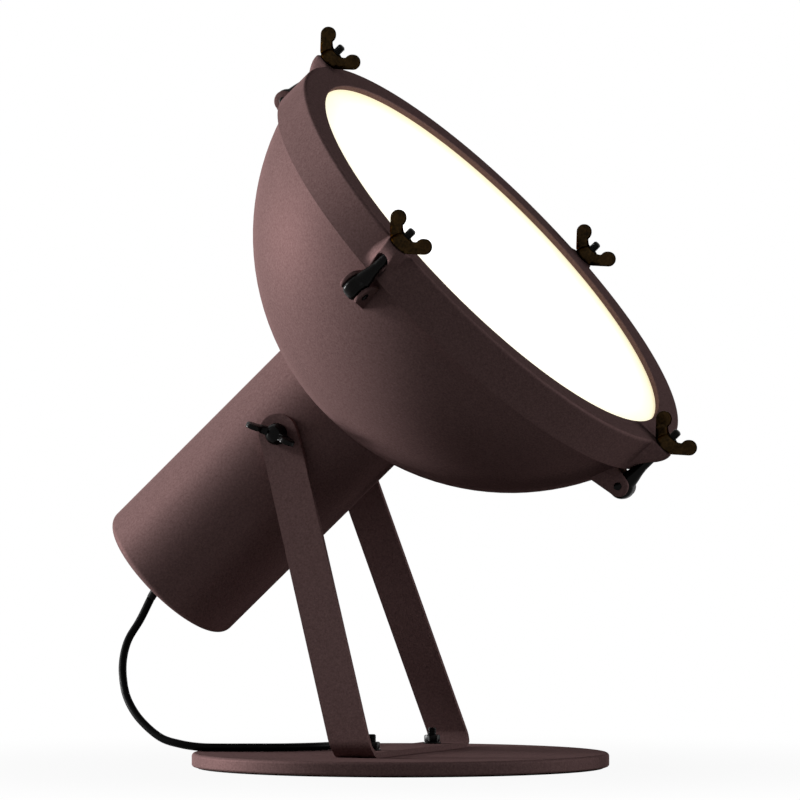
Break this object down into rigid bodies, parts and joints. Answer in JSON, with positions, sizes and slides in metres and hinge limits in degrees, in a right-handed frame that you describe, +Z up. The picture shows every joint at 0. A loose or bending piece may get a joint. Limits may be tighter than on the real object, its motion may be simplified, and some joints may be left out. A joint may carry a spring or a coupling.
{
  "type": "floor lamp",
  "caption": "Low floor lamp: a dark spherical projector head with a flat opal glass clamped by wing nuts tilts in a bent strip yoke on a round base; cord and plug included.",
  "frame": {"origin": "centre of the base's underside, on the floor", "axes": "+Z up, +X the way the head aims, +Y along the tilt axis"},
  "size_m": [0.439, 0.446, 0.5283],
  "materials": {
    "paint": "matte fine-grained paint",
    "blackened_steel": "black oxide, waxed",
    "zinc_steel": "zinc plated",
    "opal_glass": "opal, matte",
    "bulb_glass": "frosted",
    "gasket_rubber": "matte",
    "friction_fibre": "pressed fibre",
    "felt": "felt",
    "ceramic": "glazed ceramic",
    "brass": "plain",
    "cord_jacket": "black jacket",
    "black_plastic": "moulded",
    "tie_fabric": "woven hook-and-loop band"
  },
  "bodies": {
    "stand": {"base_disc": "paint", "base_pad": "felt", "yoke": "paint", "yoke_bolts": "blackened_steel", "yoke_washers": "blackened_steel", "yoke_nuts": "blackened_steel", "cord_drop": "cord_jacket", "cord_on_base": "cord_jacket", "cord_coil": "cord_jacket", "coil_tie": "tie_fabric", "plug_body": "black_plastic", "plug_blades": "brass"},
    "head": {"rear_housing": "paint", "bowl": "paint", "front_ring": "paint", "diffuser_glass": "opal_glass", "glass_gasket": "gasket_rubber", "pivot_bosses": "zinc_steel", "pivot_studs": "blackened_steel", "friction_washers": "friction_fibre", "mount_plate": "zinc_steel", "housing_screws": "zinc_steel", "housing_nuts": "zinc_steel", "lampholder": "ceramic", "holder_contact": "brass", "bulb_cap": "brass", "bulb_glass": "bulb_glass", "terminal_block": "ceramic", "inner_lead": "cord_jacket", "cord_gland": "black_plastic", "gland_nut": "black_plastic", "hinge_ears": "paint", "hinge_pins": "blackened_steel", "eye_bolts": "blackened_steel"},
    "wing_nut_top": {"wing_nut_top": "blackened_steel"},
    "wing_nut_near": {"wing_nut_near": "blackened_steel"},
    "wing_nut_bottom": {"wing_nut_bottom": "blackened_steel"},
    "wing_nut_far": {"wing_nut_far": "blackened_steel"},
    "pivot_wing_nut_near": {"pivot_wing_nut_near": "blackened_steel"},
    "pivot_wing_nut_far": {"pivot_wing_nut_far": "blackened_steel"}
  },
  "joints": [
    {"name": "head_tilt", "type": "hinge", "parent": "stand", "child": "head", "pos_m": [-0.0687, 0, 0.2372], "axis": [0, -1, 0], "range_deg": [-42.7, 47.3], "deforming": ["cord_drop"]},
    {"name": "wing_nut_top_turn", "type": "hinge", "parent": "head", "child": "wing_nut_top", "pos_m": [-0.0522, 0, 0.50687], "axis": [0.7349, 0, 0.6782], "continuous": true},
    {"name": "wing_nut_near_turn", "type": "hinge", "parent": "head", "child": "wing_nut_near", "pos_m": [0.07461, -0.187, 0.36945], "axis": [0.7349, 0, 0.6782], "continuous": true},
    {"name": "wing_nut_bottom_turn", "type": "hinge", "parent": "head", "child": "wing_nut_bottom", "pos_m": [0.20143, 0, 0.23202], "axis": [0.7349, 0, 0.6782], "continuous": true},
    {"name": "wing_nut_far_turn", "type": "hinge", "parent": "head", "child": "wing_nut_far", "pos_m": [0.07461, 0.187, 0.36945], "axis": [0.7349, 0, 0.6782], "continuous": true},
    {"name": "pivot_wing_nut_near_turn", "type": "hinge", "parent": "head", "child": "pivot_wing_nut_near", "pos_m": [-0.0687, -0.0682, 0.2372], "axis": [0, -1, 0], "continuous": true},
    {"name": "pivot_wing_nut_far_turn", "type": "hinge", "parent": "head", "child": "pivot_wing_nut_far", "pos_m": [-0.0687, 0.0682, 0.2372], "axis": [0, 1, 0], "continuous": true}
  ]
}
